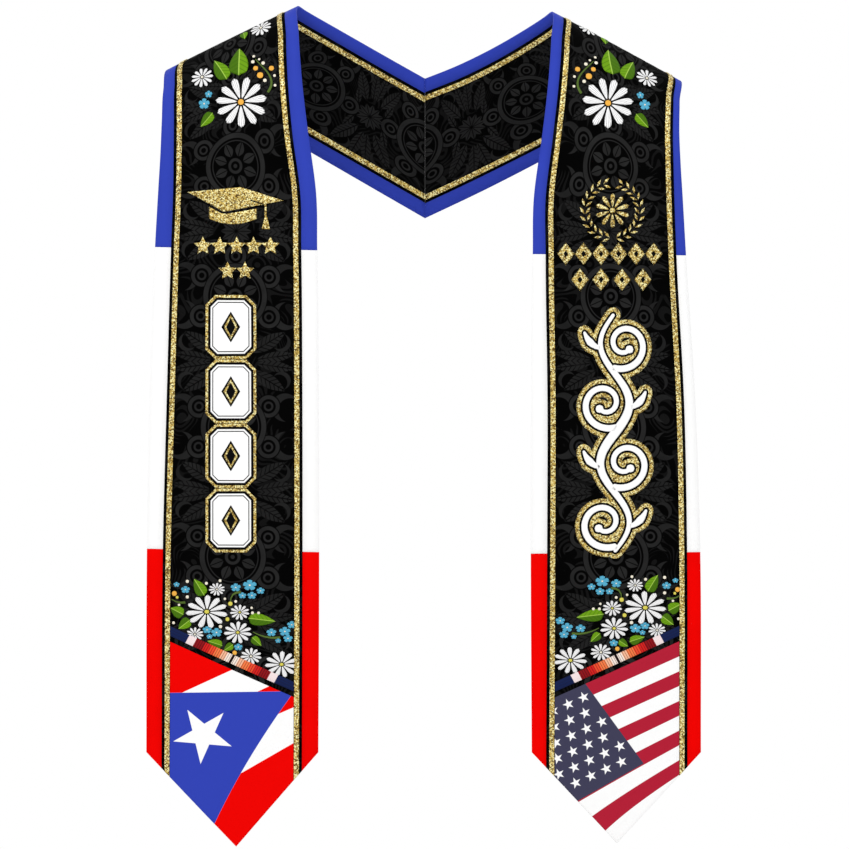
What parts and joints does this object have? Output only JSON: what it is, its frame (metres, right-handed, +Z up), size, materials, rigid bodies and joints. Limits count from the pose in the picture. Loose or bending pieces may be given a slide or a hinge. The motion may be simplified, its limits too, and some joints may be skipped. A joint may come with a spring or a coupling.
{
  "type": "graduation stole",
  "caption": "Worn graduation stole: a black cloth strip over both shoulders with pointed ends, tricolour edge bands, gold trims, a mitred back seam and flag ends.",
  "frame": {"origin": "top of the centre-back seam, where the stole sits on the nape of the neck", "axes": "+X to the viewer's right, -Y to the front, +Z up"},
  "size_m": [0.4943, 0.1451, 0.7497],
  "materials": {
    "black_satin": "printed satin, black",
    "blue_satin": "printed satin, royal blue",
    "white_satin": "printed satin, white",
    "red_satin": "printed satin, red",
    "gold_glitter": "gold glitter ribbon",
    "left_flag": "flag print in red, white and blue with one star",
    "right_flag": "flag print in red and white stripes with a blue canton of stars",
    "ribbon_bar": "striped print in navy, white, red, orange and peach"
  },
  "bodies": {
    "root": {"left_body": "black_satin", "left_inner_band_red": "red_satin", "left_inner_band_white": "white_satin", "left_inner_band_blue": "blue_satin", "left_outer_band_red": "red_satin", "left_outer_band_white": "white_satin", "left_outer_band_blue": "blue_satin", "left_inner_gold_trim": "gold_glitter", "left_outer_gold_trim": "gold_glitter", "left_neck_upper_gold_trim": "gold_glitter", "left_neck_lower_gold_trim": "gold_glitter", "left_flag_end": "left_flag", "left_ribbon_bar": "ribbon_bar", "right_body": "black_satin", "right_inner_band_red": "red_satin", "right_inner_band_white": "white_satin", "right_inner_band_blue": "blue_satin", "right_outer_band_red": "red_satin", "right_outer_band_white": "white_satin", "right_outer_band_blue": "blue_satin", "right_inner_gold_trim": "gold_glitter", "right_outer_gold_trim": "gold_glitter", "right_neck_upper_gold_trim": "gold_glitter", "right_neck_lower_gold_trim": "gold_glitter", "right_flag_end": "right_flag", "right_ribbon_bar": "ribbon_bar"}
  },
  "joints": []
}
